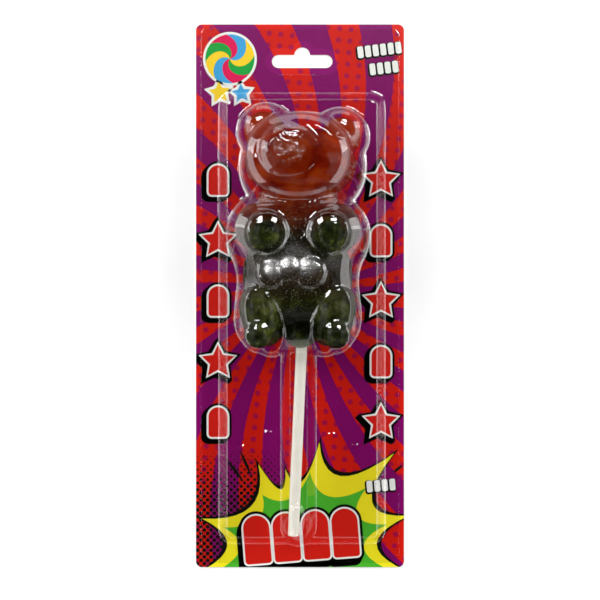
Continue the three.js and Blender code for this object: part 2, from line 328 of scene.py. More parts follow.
def melt(piece, voxel, passes):
    """Runs a piece's closed forms together into one rounded skin."""
    shape_with(piece, "REMESH", mode="VOXEL", voxel_size=voxel * MM)
    shape_with(piece, "SMOOTH", factor=0.5, iterations=passes)


def combine(piece, tool, operation, solver="MANIFOLD"):
    """Cuts, joins or trims one closed piece by another, and removes the tool."""
    shape_with(piece, "BOOLEAN", object=tool, operation=operation, solver=solver)
    mesh = tool.data
    bpy.data.objects.remove(tool)
    bpy.data.meshes.remove(mesh)


def finish_surface(piece, material, smooth=True):
    """Gives every face of a piece the same material and shading."""
    mesh = piece.data
    mesh.materials.clear()
    mesh.materials.append(material)
    mesh.polygons.foreach_set("material_index", [0] * len(mesh.polygons))
    mesh.polygons.foreach_set("use_smooth", [smooth] * len(mesh.polygons))


def arc(x, y, radius, start, end, steps=8):
    """Points on a round stretch, angles in degrees."""
    angles = [radians(start + (end - start) * i / steps) for i in range(steps + 1)]
    return [(x + radius * cos(a), y + radius * sin(a)) for a in angles]


def circle(sides):
    """Points evenly spaced on a circle of radius one."""
    return [(cos(2 * pi * k / sides), sin(2 * pi * k / sides)) for k in range(sides)]


def limited(value):
    """A value held between nought and one."""
    return min(1.0, max(0.0, value))


def rounded_rectangle(x, y, width, height, corner, steps=8):
    across, up = width / 2 - corner, height / 2 - corner
    outline = []
    for turn, side, end in ((0, 1, 1), (90, -1, 1), (180, -1, -1), (270, 1, -1)):
        outline += arc(x + side * across, y + end * up, corner, turn, turn + 90, steps)
    return outline


def hanging_slot(margin):
    radius = SLOT["height"] / 2 + margin
    reach = SLOT["width"] / 2 + margin - radius
    bump = SLOT["bump"] + margin
    start = degrees(asin((radius - SLOT["rise"]) / bump))
    return (
        arc(SLOT["x"] + reach, SLOT["y"], radius, -90, 90, 12)
        + arc(SLOT["x"], SLOT["y"] + SLOT["rise"], bump, start, 180 - start, 14)
        + arc(SLOT["x"] - reach, SLOT["y"], radius, 90, 270, 12)
    )


def join_rings(bm, rings):
    """Faces between rings of points that follow each other. A ring of one point closes an end."""
    count = max(len(ring) for ring in rings)
    for lower, upper in zip(rings, rings[1:]):
        for k in range(count):
            n = (k + 1) % count
            below = (lower[k % len(lower)], lower[n % len(lower)])
            above = (upper[n % len(upper)], upper[k % len(upper)])
            bm.faces.new(list(dict.fromkeys(below + above)))


def stack(bm, outlines):
    """A closed solid through outlines, each given with its height."""
    rings = [[bm.verts.new((x * MM, y * MM, z * MM)) for x, y in outline] for outline, z in outlines]
    bm.faces.new(rings[-1])
    bm.faces.new(rings[0][::-1])
    join_rings(bm, rings)


def plates(name, outlines, back, front):
    bm = bmesh.new()
    for outline in outlines:
        stack(bm, ((outline, back), (outline, front)))
    return object_from(name, bm)


def turned(outline, x, y, tilt=0.0):
    """An outline drawn about zero, turned by an angle in degrees and set at a place."""
    c, s = cos(radians(tilt)), sin(radians(tilt))
    return [(x + c * u - s * v, y + s * u + c * v) for u, v in outline]


def clipped(outline, frame_outline):
    """The part of an outline inside a convex one."""
    result = outline
    for (ax, ay), (bx, by) in zip(frame_outline, frame_outline[1:] + frame_outline[:1]):
        if hypot(bx - ax, by - ay) < 1e-9:
            continue
        kept = []
        for (px, py), (qx, qy) in zip(result, result[1:] + result[:1]):
            p_side = (bx - ax) * (py - ay) - (by - ay) * (px - ax)
            q_side = (bx - ax) * (qy - ay) - (by - ay) * (qx - ax)
            if p_side >= 0:
                kept.append((px, py))
            if (p_side > 0 > q_side) or (p_side < 0 < q_side):
                t = p_side / (p_side - q_side)
                kept.append((px + t * (qx - px), py + t * (qy - py)))
        result = kept
        if len(result) < 3:
            return []
    return result


def without_repeats(outline):
    kept = []
    for point in outline:
        if not kept or dist(point, kept[-1]) > 1e-4:
            kept.append(point)
    if len(kept) > 1 and dist(kept[0], kept[-1]) <= 1e-4:
        kept.pop()
    return kept


# Materials

class Shader:
    """A material's node tree, built a node at a time."""

    def __init__(self, name):
        self.material = bpy.data.materials.new(name)
        self.material.use_nodes = True
        self.tree = self.material.node_tree
        self.tree.nodes.clear()
        self.output = self.add("ShaderNodeOutputMaterial")

    def add(self, kind, inputs=None, **settings):
        node = self.tree.nodes.new(kind)
        for key, value in settings.items():
            setattr(node, key, value)
        for key, value in (inputs or {}).items():
            self.set(node, key, value)
        return node

    def set(self, node, key, value):
        if isinstance(value, bpy.types.NodeSocket):
            self.tree.links.new(value, node.inputs[key])
        else:
            node.inputs[key].default_value = value

    def surface(self, socket):
        self.tree.links.new(socket, self.output.inputs["Surface"])
        return self.material

    def place(self):
        return self.add("ShaderNodeTexCoord").outputs["Object"]

    def noise(self, scale, detail=2.0, roughness=0.5, stretch=None):
        """Noise over the object, scale in cycles a millimetre."""
        place = self.place()
        if stretch:
            place = self.add("ShaderNodeMapping", {"Vector": place, "Scale": stretch}).outputs[0]
        return self.add("ShaderNodeTexNoise", {
            "Vector": place, "Scale": scale / MM, "Detail": detail, "Roughness": roughness,
        }).outputs["Fac"]

    def ramp(self, factor, stops):
        """Colours along a factor. Each stop is a position and a colour as a screen shows it."""
        node = self.add("ShaderNodeValToRGB", {"Fac": factor})
        elements = node.color_ramp.elements
        while len(elements) < len(stops):
            elements.new(0.5)
        for element, (position, colour) in zip(elements, stops):
            element.position = position
            element.color = (*srgb(*colour), 1.0)
        return node.outputs["Color"]

    def principled(self, inputs):
        return self.surface(self.add("ShaderNodeBsdfPrincipled", inputs).outputs[0])

    def math(self, operation, *values, clamp=False):
        node = self.add("ShaderNodeMath", operation=operation, use_clamp=clamp)
        for index, value in enumerate(values):
            self.set(node, index, value)
        return node.outputs[0]

    def spread(self, value, low, high, to_low=0.0, to_high=1.0):
        return self.add("ShaderNodeMapRange", {
            "Value": value, "From Min": low, "From Max": high, "To Min": to_low, "To Max": to_high,
        }).outputs[0]

    def times(self, first, *others):
        for other in others:
            first = self.math("MULTIPLY", first, other)
        return first

    def most(self, first, *others):
        for other in others:
            first = self.math("MAXIMUM", first, other)
        return first

    def parts(self, vector):
        split = self.add("ShaderNodeSeparateXYZ", {"Vector": vector})
        return [split.outputs[axis] for axis in "XYZ"]

    def spots(self, x, y, columns):
        """One inside any of the round columns, fading to nought over their soft edges."""
        found = []
        for middle_x, middle_y, radius, soft in columns:
            dx = self.math("SUBTRACT", x, middle_x * MM)
            dy = self.math("SUBTRACT", y, middle_y * MM)
            reach = self.math("SQRT", self.math("ADD", self.times(dx, dx), self.times(dy, dy)))
            found.append(self.spread(reach, (radius + soft) * MM, (radius - soft) * MM))
        return self.most(*found)

    def mix(self, factor, first, second):
        node = self.add("ShaderNodeMix", data_type="RGBA", blend_type="MIX")
        self.set(node, 0, factor)
        for index, value in ((6, first), (7, second)):
            self.set(node, index, value if isinstance(value, bpy.types.NodeSocket) else (*value, 1.0))
        return node.outputs[2]

    def bump(self, height, distance, strength=1.0, normal=None):
        inputs = {"Height": height, "Distance": distance * MM, "Strength": strength}
        if normal:
            inputs["Normal"] = normal
        return self.add("ShaderNodeBump", inputs).outputs["Normal"]


def srgb(*colour):
    """A colour read off a screen, 0 to 255, as linear light."""
    shares = [value / 255 for value in colour]
    return tuple(v / 12.92 if v <= 0.04045 else ((v + 0.055) / 1.055) ** 2.4 for v in shares)


def ink(name, colour):
    """Printed ink on coated board: slight mottle, fine press grain and a satin coat."""
    s = Shader(name)
    mottle = s.noise(0.05, 3.0)
    grain = s.noise(2.2, 2.0)
    dark = tuple(v * (1 - INK_MOTTLE) for v in colour)
    light = tuple(min(1.0, v * (1 + INK_MOTTLE)) for v in colour)
    tone = s.mix(mottle, dark, light)
    tone = s.mix(s.spread(grain, 0.35, 0.65, 0.0, 0.12), tone, light)
    return s.principled({
        "Base Color": tone,
        "Roughness": s.spread(grain, 0.3, 0.7, 0.26, 0.36),
        "Normal": s.bump(grain, 0.012, 0.5),
        "Specular IOR Level": 0.15,
    })


# Card board

def card_material():
    """Coated board seen at its edges and back: warm white with short fibres."""
    s = Shader("board")
    fibre = s.noise(1.4, 4.0, 0.65)
    cloud = s.noise(0.03, 3.0)
    tone = s.ramp(fibre, BOARD_FIBRE)
    tone = s.mix(s.spread(cloud, 0.35, 0.65, 0.0, 0.25), tone, srgb(*BOARD_CLOUD))
    return s.principled({
        "Base Color": tone, "Roughness": 0.72, "Normal": s.bump(fibre, 0.03, 0.6), "Specular IOR Level": 0.3,
    })


# Print

CARD_OUTLINE = rounded_rectangle(0, 0, CARD_WIDTH, CARD_HEIGHT, CARD_CORNER)


def ray_turn(radius):
    """How far a ray has swung round at a distance from the middle."""
    part = radius / RAYS["unit"]
    return RAYS["twist"] * part + RAYS["more_twist"] * part * part


def ray_outline(index, steps=16):
    """One purple ray of the sunburst, half as wide as a purple and a red ray together."""
    pitch = 2 * pi / RAYS["pairs"]
    middle = RAYS["start"] + (index + 0.5) * pitch
    low, high = RAY_REACH
    reaches = [low + (high - low) * (i / steps) for i in range(steps + 1)]

    def side(swing):
        turns = [middle + swing + ray_turn(r) for r in reaches]
        return [(RAYS["x"] + r * cos(turn), RAYS["y"] + r * sin(turn)) for r, turn in zip(reaches, turns)]

    return side(-pitch / 4) + side(pitch / 4)[::-1]


def in_red(x, y):
    """How far inside a red ray a point lies, from -1 to 1."""
    dx, dy = x - RAYS["x"], y - RAYS["y"]
    angle = atan2(dy, dx) - ray_turn(hypot(dx, dy)) - RAYS["start"]
    return cos(RAYS["pairs"] * angle)


def dot_grid(grid, margin=2):
    """Places on a turned square grid that lie on the card or just beside it."""
    pitch, turn = grid["pitch"], radians(grid["turn"])
    c, s = cos(turn), sin(turn)
    reach = int(1.1 * CARD_HEIGHT / pitch)
    for i in range(-reach, reach):
        for j in range(-reach, reach):
            x = grid["x"] + pitch * (c * i - s * j)
            y = grid["y"] + pitch * (s * i + c * j)
            if abs(x) < CARD_WIDTH / 2 + margin and abs(y) < CARD_HEIGHT / 2 + margin:
                yield x, y


def near_slot(x, y, margin):
    """Whether a point lies in the hanging slot or within the margin of it."""
    dx = max(abs(x - SLOT["x"]) - SLOT["width"] / 2 + SLOT["height"] / 2, 0)
    bar = hypot(dx, y - SLOT["y"]) < SLOT["height"] / 2 + margin
    bump = hypot(x - SLOT["x"], y - SLOT["y"] - SLOT["rise"]) < SLOT["bump"] + margin
    return bar or bump


def disc(radius, steps=14):
    return [(radius * c, radius * s) for c, s in circle(steps)]


def star(radius, inner, points=5):
    result = []
    for i in range(2 * points):
        reach = radius if i % 2 == 0 else inner
        angle = radians(90 + 180 / points * i)
        result.append((reach * cos(angle), reach * sin(angle)))
    return result


def gumdrop(size, grow):
    """A block with an arched top and rounded lower corners, grown outwards all round."""
    width, height = size
    half = width / 2 + grow
    low = -height / 2 - grow
    corner = 1.6 + grow
    crown = height / 2 - width / 2
    return (
        arc(half - corner, low + corner, corner, -90, 0, 5)
        + arc(0, crown, half, 0, 180, 18)
        + arc(-half + corner, low + corner, corner, 180, 270, 5)
    )


def five_star(size, grow):
    """A star whose rim stays about as wide all round as it grows."""
    return star(size * 0.56 + grow * 1.7, size * 0.27 + grow * 1.2)


def swirl_blade(radius, steps=14, rim_steps=4):
    """One blade of a lollipop swirl, drawn about zero."""
    width = 2 * pi / SWIRL["blades"]
    lower, upper = [(0.0, 0.0)], []
    for i in range(1, steps + 1):
        r = radius * i / steps
        a = SWIRL["lean"] * (i / steps) ** SWIRL["bend"]
        lower.append((r * cos(a), r * sin(a)))
        upper.append((r * cos(a + width), r * sin(a + width)))
    turns = [SWIRL["lean"] + width * k / rim_steps for k in range(1, rim_steps)]
    rim = [(radius * cos(a), radius * sin(a)) for a in turns]
    return lower + rim + upper[::-1]


def bar(size, grow):
    width, height = size
    return rounded_rectangle(0, 0, width + 2 * grow, height + 2 * grow, width * 0.3 + grow, 5)


def streak(length, width, steps=12):
    """A thin leaf, pointed at both ends."""
    side = [
        (width / 2 * sin(pi * i / steps), length * (i / steps - 0.5)) for i in range(steps + 1)
    ]
    return side + [(-x, y) for x, y in side[-2:0:-1]]


def swept(outline, way, steps=4):
    """Copies of an outline along a short way, which together read as a cast block shadow."""
    dx, dy = way
    return [[(x + dx * i / steps, y + dy * i / steps) for x, y in outline] for i in range(steps + 1)]


def stepped(middle, tilt, count, step):
    """Places evenly spaced along a tilted line about a middle."""
    c, s = cos(radians(tilt)), sin(radians(tilt))
    ways = [(i - (count - 1) / 2) * step for i in range(count)]
    return [(middle[0] + way * c, middle[1] + way * s) for way in ways]


def blended(first, control, last, steps=10):
    """Points from first up to but not including last, on a curve bent towards control."""
    shares = [i / steps for i in range(steps)]
    return [(1 - t) ** 2 * first + 2 * t * (1 - t) * control + t * t * last for t in shares]


def burst(tips, pinch, tip_growth=0.0, curve_growth=0.0):
    """A comic burst: sharp tips joined by hollow curves, open below the card's lower edge."""
    tips, middle = np.array(tips), np.array(BURST_MIDDLE)

    def pushed(point, growth):
        away = point - middle
        return middle + away * (1 + growth / hypot(*away))

    ends = [pushed(tip, tip_growth) for tip in tips]
    outline = []
    for i in range(len(tips) - 1):
        control = middle + ((tips[i] + tips[i + 1]) / 2 - middle) * pinch
        outline += blended(ends[i], pushed(control, curve_growth), ends[i + 1])
    bottom = -CARD_HEIGHT / 2 - 6
    return outline + [ends[-1], (ends[-1][0] * 0.94, bottom), (ends[0][0] * 0.94, bottom)]


class Press:
    """Lays down thin plates of ink, each a little higher than what is under it."""

    def __init__(self):
        self.inks = {}
        self.pieces = []

    def lay(self, name, outlines, colour, level):
        outlines = [without_repeats(clipped(outline, CARD_OUTLINE)) for outline in outlines]
        outlines = [outline for outline in outlines if len(outline) > 3]
        piece = plates(name, outlines, CARD_FRONT, CARD_FRONT + INK_STEP * (level + 1))
        if colour not in self.inks:
            self.inks[colour] = ink("ink_%d" % len(self.inks), srgb(*colour))
        finish_surface(piece, self.inks[colour], smooth=False)
        self.pieces.append(piece)
        return piece


def print_ground(press):
    """Red ground with dots, and purple rays over it, all clear of the hanging slot."""
    ground = press.lay("print_red_ground", [CARD_OUTLINE], RED, 0)
    dots = [
        turned(disc(DOT["radius"]), x, y) for x, y in dot_grid(DOT)
        if in_red(x, y) > -0.35 and not near_slot(x, y, DOT["radius"] + 0.1)
    ]
    press.lay("print_dots", dots, DOT_RED, 1)
    rays = press.lay("print_purple_rays", [ray_outline(i) for i in range(RAYS["pairs"])], PURPLE, 2)
    for piece in (ground, rays):
        material = piece.data.materials[0]
        combine(piece, plates("cutter", [hanging_slot(0)], -2, 4), "DIFFERENCE", "EXACT")
        finish_surface(piece, material, smooth=False)


def print_burst(press):
    """The burst over its halftone."""
    halftone = []
    top, fade_height = HALFTONE_TOP
    right, fade_width = HALFTONE_RIGHT
    for x, y in dot_grid(HALFTONE):
        fade = limited((top - y) / fade_height)
        side = limited((right - x) / fade_width)
        radius = HALFTONE["radius"] * fade ** 0.6 * side ** 0.5
        if radius > HALFTONE["least"]:
            halftone.append(turned(disc(radius, 10), x, y))
    press.lay("print_halftone", halftone, BLACK, 3)
    press.lay("print_burst_edge", [burst(BURST_TIPS, BURST_PINCH, *BURST_EDGE)], BLACK, 4)
    press.lay("print_burst_yellow", [burst(BURST_TIPS, BURST_PINCH)], YELLOW, 5)
    press.lay("print_burst_green", [burst(CORE_TIPS, CORE_PINCH)], GREEN, 6)


def print_blocks(press, name, outlines_at, growths, way, level):
    """A block shadow, a rim and a fill. outlines_at gives the outlines grown by a width."""
    shadow, rim, fill = (outlines_at(growth) for growth in growths)
    shadow = [copy for outline in shadow for copy in swept(outline, way)]
    press.lay(name + "_shadow", shadow, BLACK, level)
    press.lay(name + "_rim", rim, WHITE, level + 1)
    press.lay(name + "_fill", fill, TILE_RED, level + 2)


def print_headline(press):
    """Four gumdrops on a slope, over the dark streaks."""
    streaks = [turned(streak(length, STREAK_WIDTH), x, y, tilt) for x, y, length, tilt in STREAKS]
    press.lay("print_streaks", streaks, BLACK, 2.6)
    tilt = HEADLINE["tilt"]
    places = stepped((HEADLINE["x"], HEADLINE["y"]), tilt, HEADLINE["count"], HEADLINE["step"])

    def blocks(growth):
        return [turned(gumdrop(HEADLINE["size"], growth), x, y, tilt) for x, y in places]

    print_blocks(press, "print_headline", blocks, HEADLINE["growths"], HEADLINE["shadow"], 7)


def print_tiles(press):
    """Gumdrops and stars by turns down both sides."""
    places = [
        (x, TILES["top"] - TILES["step"] * row, (row + column) % 2)
        for column, x in enumerate(TILES["columns"]) for row in range(TILES["rows"])
    ]

    def tiles(growth):
        star_outline = five_star(TILES["star"], growth)
        block = gumdrop(TILES["gumdrop"], growth)
        return [turned(star_outline if starry else block, x, y) for x, y, starry in places]

    print_blocks(press, "print_tile", tiles, TILES["growths"], TILES["shadow"], 3.6)


def print_marks(press):
    """Short rows of white blocks with dark edges."""
    edges, fills = [], []
    dx, dy = MARK["edge_shift"]
    for x, y, count, tilt in MARK_ROWS:
        for place_x, place_y in stepped((x, y), tilt, count, MARK["step"]):
            edges.append(turned(bar(MARK["size"], MARK["edge"]), place_x + dx, place_y + dy, tilt))
            fills.append(turned(bar(MARK["size"], 0), place_x, place_y, tilt))
    press.lay("print_mark_edges", edges, BLACK, 6.6)
    press.lay("print_mark_fills", fills, WHITE, 7.6)


def print_badge(press):
    """A lollipop swirl on a white disc, with two stars under it."""
    x, y = SWIRL["place"]
    press.lay("swirl_rim", [turned(disc(SWIRL["rim"], 56), x, y)], WHITE, 5)
    pitch = 360 / SWIRL["blades"]
    for which, colour in enumerate(SWIRL_COLOURS):
        turns = [pitch * (which + len(SWIRL_COLOURS) * half) + SWIRL["turn"] for half in range(2)]
        blades = [turned(swirl_blade(SWIRL["radius"]), x, y, turn) for turn in turns]
        press.lay("swirl_blades_%d" % which, blades, colour, 6)
    for name, x, y, size, colour in BADGE_STARS:
        rim = turned(star(size + 2.4, size * 0.5 + 1.6), x, y, BADGE_STAR_TILT)
        press.lay(name + "_rim", [rim], WHITE, 5)
        press.lay(name, [turned(star(size, size * 0.5), x, y, BADGE_STAR_TILT)], colour, 6)


def make_print():
    press = Press()
    for part in (print_ground, print_burst, print_headline, print_tiles, print_marks, print_badge):
        part(press)
    return press.pieces


# Bear

def bear_mesh():
    bm = bmesh.new()
    for centre, radii, turn in BEAR.values():
        matrix = (
            Matrix.Translation(Vector(centre) * MM)
            @ Matrix.Rotation(radians(turn), 4, "Z")
            @ Matrix.Diagonal((*[r * MM for r in radii], 1.0))
        )
        bmesh.ops.create_icosphere(bm, subdivisions=5, radius=1.0, matrix=matrix)
    return object_from("gummy_body", bm)


def along_stick(radius, low, high, name, rounding=0.0, round_steps=4, steps=24):
    """A round bar about the stick's line, between two distances from its lower end."""
    end, top = Vector(STICK["end"]), Vector(STICK["top"])
    turn = Vector((0, 0, 1)).rotation_difference((top - end).normalized())
    bend = [radians(90 * i / round_steps) for i in range(round_steps + 1)]
    bend = [(radius - rounding * (1 - sin(a)), rounding * (1 - cos(a))) for a in bend]
    straight = [low + rounding + (high - low - 2 * rounding) * i / steps for i in range(1, steps)]
    profile = [(0.0, low)] + [(reach, low + up) for reach, up in bend]
    profile += [(radius, height) for height in straight]
    profile += [(reach, high - up) for reach, up in reversed(bend)] + [(0.0, high)]
    profile = [p for i, p in enumerate(profile) if i == 0 or dist(p, profile[i - 1]) > 1e-6]
    bm = bmesh.new()
    rings = []
    for reach, height in profile:
        ways = circle(STICK_SIDES) if reach > 0 else [(0, 0)]
        points = [end + turn @ Vector((reach * c, reach * s, height)) for c, s in ways]
        rings.append([bm.verts.new(point * MM) for point in points])
    join_rings(bm, rings)
    return object_from(name, bm)


def roughen(piece):
    """Moves the surface in and out a little, more at the snout, paws and feet."""
    mesh = piece.data
    count = len(mesh.vertices)
    places = np.empty(count * 3)
    normals = np.empty(count * 3)
    mesh.vertices.foreach_get("co", places)
    mesh.vertices.foreach_get("normal", normals)
    places = places.reshape(-1, 3) / MM
    normals = normals.reshape(-1, 3)
    height = np.full(count, LUMPS_EVERYWHERE)
    for centre, reach, rise in LUMPS:
        away = np.linalg.norm(places - np.array(centre), axis=1)
        height = np.maximum(height, rise * np.clip(1.4 * (1 - away / reach), 0, 1))
    spots = [Vector(place) / LUMP_PITCH for place in places]
    wave = np.array([noise.noise(spot) + 0.5 * noise.noise(spot * 2.1) for spot in spots])
    places += normals * (height * wave)[:, None]
    mesh.vertices.foreach_set("co", (places * MM).ravel())
    mesh.update()


def make_bear():
    piece = bear_mesh()
    melt(piece, JELLY_VOXEL, JELLY_PASSES)
    roughen(piece)
    wide = rounded_rectangle(0, 0, 2 * CLEAR, CARD_HEIGHT, 1.0)
    combine(piece, plates("behind", [wide], -CLEAR, BEAR_BACK), "DIFFERENCE")
    socket = along_stick(STICK["radius"] + SOCKET_GAP, -2, STICK_LENGTH + SOCKET_GAP, "socket")
    combine(piece, socket, "DIFFERENCE")
    return piece


def bear_material():
    """Jelly in two colours: brownish red above, dark brown to green below, with cloudy depth."""
    s = Shader("jelly")
    x, y, _ = s.parts(s.place())
    spots = {name: s.spots(x, y, columns) for name, columns in JELLY_SPOTS.items()}
    tints = {name: srgb(*colour) for name, colour in JELLY_TINTS.items()}
    warp = s.noise(0.06, 3.0)
    row = s.math("ADD", y, s.times(s.math("SUBTRACT", warp, 0.5), 0.014))
    cloud = s.noise(0.09, 3.0, 0.6)
    swirl = s.noise(0.05, 4.0, 0.65)
    mottle = s.noise(0.16, 4.0, 0.7)
    red = s.ramp(cloud, JELLY_RED)
    brown = s.ramp(cloud, JELLY_BROWN)
    green = s.ramp(s.mix(0.6, swirl, mottle), JELLY_GREEN)

    lower = s.mix(s.most(spots["paws"], s.spread(row, *GREEN_ROWS)), brown, green)
    # Painted shade: the crotch between the legs goes near black.
    lower = s.mix(spots["crotch"], lower, tints["crotch"])
    lower = s.mix(spots["collar"], lower, tints["collar"])
    # Painted highlight: pale olive mottle on the thighs.
    lower = s.mix(s.times(spots["thigh_highlights"], s.spread(mottle, 0.4, 0.56, 0.1, 0.6)), lower, tints["thigh_highlights"])
    bare = s.math("SUBTRACT", 1.0, spots["paws"])
    tone = s.mix(s.times(s.spread(row, *RUSSET_ROWS), bare), lower, s.mix(0.5, brown, red))
    tone = s.mix(s.times(s.spread(row, *RED_ROWS), bare), tone, red)
    tone = s.mix(s.times(spots["muzzle"], 0.45), tone, tints["muzzle"])
    # Painted shade: a darker red ring in the crease round the muzzle.
    crease_shade = s.math("SUBTRACT", spots["outside_crease"], spots["inside_crease"])
    tone = s.mix(s.times(crease_shade, 0.4), tone, tints["crease_shade"])
    tone = s.mix(s.times(spots["ears"], 0.7), tone, tints["ears"])
    speck = s.spread(s.noise(1.5, 1.0), 0.66, 0.7)
    tone = s.mix(s.times(spots["specked"], 0.5, speck), tone, tints["specks"])

    fine = s.noise(0.9, 2.0)
    lump = s.noise(0.2, 2.0)
    rough = s.most(spots["muzzle"], s.spread(row, *SMOOTH_ROWS))
    dents = s.bump(lump, 0.9, s.spread(rough, 0.0, 1.0, 0.12, 0.6))
    return s.principled({
        "Base Color": tone,
        "Roughness": 0.2,
        "IOR": 1.45,
        "Specular IOR Level": 0.02,
        "Subsurface Weight": 0.3,
        "Subsurface Radius": (1.0, 0.35, 0.12),
        "Subsurface Scale": 0.003,
        "Coat Weight": 0.16,
        "Coat Roughness": 0.03,
        "Normal": s.bump(fine, 0.06, 0.5, dents),
        "Coat Normal": s.bump(fine, 0.06, 0.6, dents),
    })


# Stick

def stick_material():
    """White rolled paper, faintly streaked along its length."""
    s = Shader("stick_paper")
    fibre = s.noise(1.6, 3.0, stretch=(1.0, 0.08, 1.0))
    return s.principled({
        "Base Color": s.ramp(fibre, STICK_PAPER),
        "Roughness": 0.5,
        "Normal": s.bump(fibre, 0.02, 0.4),
        "Specular IOR Level": 0.4,
    })


# Blister

def sweep(radius, first, last, steps=8):
    """Ways across and up along an arc whose slope runs from first to last."""
    slopes = [first + (last - first) * i / steps for i in range(steps + 1)]
    return [
        (radius * abs(sin(a) - sin(b)), radius * abs(cos(a) - cos(b)))
        for a, b in zip(slopes, slopes[1:])
    ]


def named(pair, name):
    """A value for a dome from a table and the value for those that it doesn't name."""
    return pair[0].get(name, pair[1])


def dome_profile(name, top, flank, turn, crown_reach, crown_slope, flank_steps=6, wall_steps=8):
    """Insets and heights of a dome: a hollow foot, a wall, a lip, a leaning flank and its turn."""
    lean = radians(named(WALL_LEAN, name))
    steep = pi / 2 - lean
    outer, inner = FLANK_SLOPES
    upper = []
    for i in range(flank_steps):
        slope = outer + (inner - outer) * (i + 0.5) / flank_steps
        upper.append((flank / flank_steps, flank / flank_steps * tan(slope)))
    upper += sweep(turn, inner, crown_slope)
    rise = crown_reach * tan(crown_slope) / 2
    edge = top - rise - sum(up for _, up in upper)
    lip = sweep(LIP, steep, outer)
    hollow = sweep(named(FOOT_RADIUS, name), radians(3), steep)
    wall = edge - TRAY["top"] - sum(up for _, up in lip + hollow)
    lower = hollow + [(wall * tan(lean) / wall_steps, wall / wall_steps)] * wall_steps + lip
    inset = -sum(across for across, _ in lower)
    height = TRAY["top"]
    rings = [(inset, FLANGE_BACK - SUNK), (inset, height)]
    for across, up in lower + upper:
        inset += across
        height += up
        rings.append((inset, height))
    return rings, rise


def raised(bm, middle, outline_at, profile, rise, shift=(0.0, 0.0), lean=(0.0, 0.0), crown_steps=9):
    """A closed dome: outlines at each inset and height, then a crown that closes over the middle."""
    def leaned(x, y, z):
        low, high = LEAN_HEIGHTS
        share = limited((z - low) / (high - low))
        across, along = (tan(radians(angle)) for angle in lean)
        return x, y, z - share * (across * (x - middle[0]) + along * (y - middle[1]))

    last_inset, last_height = profile[-1]
    lip_height = next(height for inset, height in profile if inset > -1e-6)
    rings = [[(*middle, profile[0][1])]]
    for inset, height in profile:
        share = limited((lip_height - height) / (lip_height - TRAY["top"]))
        dx, dy = (way * share for way in shift)
        rings.append([leaned(x + dx, y + dy, height) for x, y in outline_at(inset)])
    edge = outline_at(last_inset)
    for i in range(1, crown_steps):
        share = cos(radians(90 * i / crown_steps))
        height = last_height + rise * (1 - share * share)
        points = [[centre + (at - centre) * share for at, centre in zip(point, middle)] for point in edge]
        rings.append([leaned(x, y, height) for x, y in points])
    rings.append([(*middle, last_height + rise)])
    join_rings(bm, [[bm.verts.new((x * MM, y * MM, z * MM)) for x, y, z in ring] for ring in rings])


def dome_mesh(bm, name, sides=96):
    """A closed dome over a turned superellipse."""
    x, y, rx, ry, tilt, top, square, flank, turn, crown = DOMES[name]
    crown_slope = radians(crown)
    crown_reach = max(0.5, min(rx, ry) - flank - turn * (sin(FLANK_SLOPES[1]) - sin(crown_slope)))
    profile, rise = dome_profile(name, top, flank, turn, crown_reach, crown_slope)

    def outline_at(inset):
        points = []
        for c, s in circle(sides):
            f = (abs(c) ** square + abs(s) ** square) ** (-1 / square)
            narrow = 1.0 - (1.0 - SNOUT_RIGHT) * max(0.0, c) if name == "snout" else 1.0
            points.append(((rx - inset * narrow) * c * f, (ry - inset * narrow) * s * f))
        return turned(points, x, y, tilt)

    shift = FOOT_SHIFT.get(name, (0.0, 0.0))
    raised(bm, (x, y), outline_at, profile, rise, shift, TOP_LEAN.get(name, (0.0, 0.0)))


def rounded_loop(loop, passes):
    """A closed outline rounded by averaging neighbours."""
    for _ in range(passes):
        loop = (np.roll(loop, 1, axis=0) + 2 * loop + np.roll(loop, -1, axis=0)) / 4
    return loop


def even_loop(points, count, passes):
    """A closed outline with evenly spaced points, then rounded."""
    loop = np.array(points + points[:1])
    length = np.concatenate([[0], np.cumsum(np.linalg.norm(np.diff(loop, axis=0), axis=1))])
    marks = np.linspace(0, length[-1], count, endpoint=False)
    loop = np.stack([np.interp(marks, length, loop[:, axis]) for axis in range(2)], axis=1)
    return rounded_loop(loop, passes)


def trunk_mesh(bm):
    """The low dome over the arms, belly and legs, with one wavy outline."""
    right = [(reach, y) for y, _, reach in reversed(TRUNK_ROWS)]
    left = [(-reach, y) for y, reach, _ in TRUNK_ROWS]
    edge = even_loop(right + list(TRUNK_TOP) + left + list(TRUNK_BOTTOM), 160, 6)
    rows, shares = zip(*TRUNK_SPREAD)
    spread = np.interp(edge[:, 1], rows, shares)[:, None]

    def outline_at(inset):
        ahead = np.roll(edge, -1, axis=0) - np.roll(edge, 1, axis=0)
        inward = np.stack([-ahead[:, 1], ahead[:, 0]], axis=1) / np.linalg.norm(ahead, axis=1)[:, None]
        loop = edge + inward * inset * (spread if inset < 0 else 1.0)
        return [tuple(point) for point in rounded_loop(loop, int(abs(inset) * 4)).tolist()]

    crown_slope = radians(TRUNK["crown"])
    profile, rise = dome_profile(
        "trunk", TRUNK["top"], TRUNK["flank"], TRUNK["turn"], TRUNK["reach"], crown_slope)
    raised(bm, TRUNK["middle"], outline_at, profile, rise)


def panel_mesh(bm, outline_at, back, top, draft, steps=12):
    """A closed raised panel. outline_at gives the outline for an inset."""
    levels = [(outline_at(0.0), back - SUNK)]
    levels += [(outline_at(draft * i / steps), back + (top - back) * i / steps) for i in range(steps + 1)]
    stack(bm, levels)


def tray_outline(inset):
    return rounded_rectangle(
        TRAY["x"], TRAY["y"], TRAY["width"] - 2 * inset, TRAY["height"] - 2 * inset, TRAY["corner"] - inset)


def channel_outline(inset):
    radius = CHANNEL["half"] - inset
    return (
        arc(CHANNEL["x"], CHANNEL["top_y"] - CHANNEL["half"], radius, 0, 180, 16)
        + arc(CHANNEL["x"], CHANNEL["bottom_y"] + CHANNEL["half"], radius, 180, 360, 16)
    )


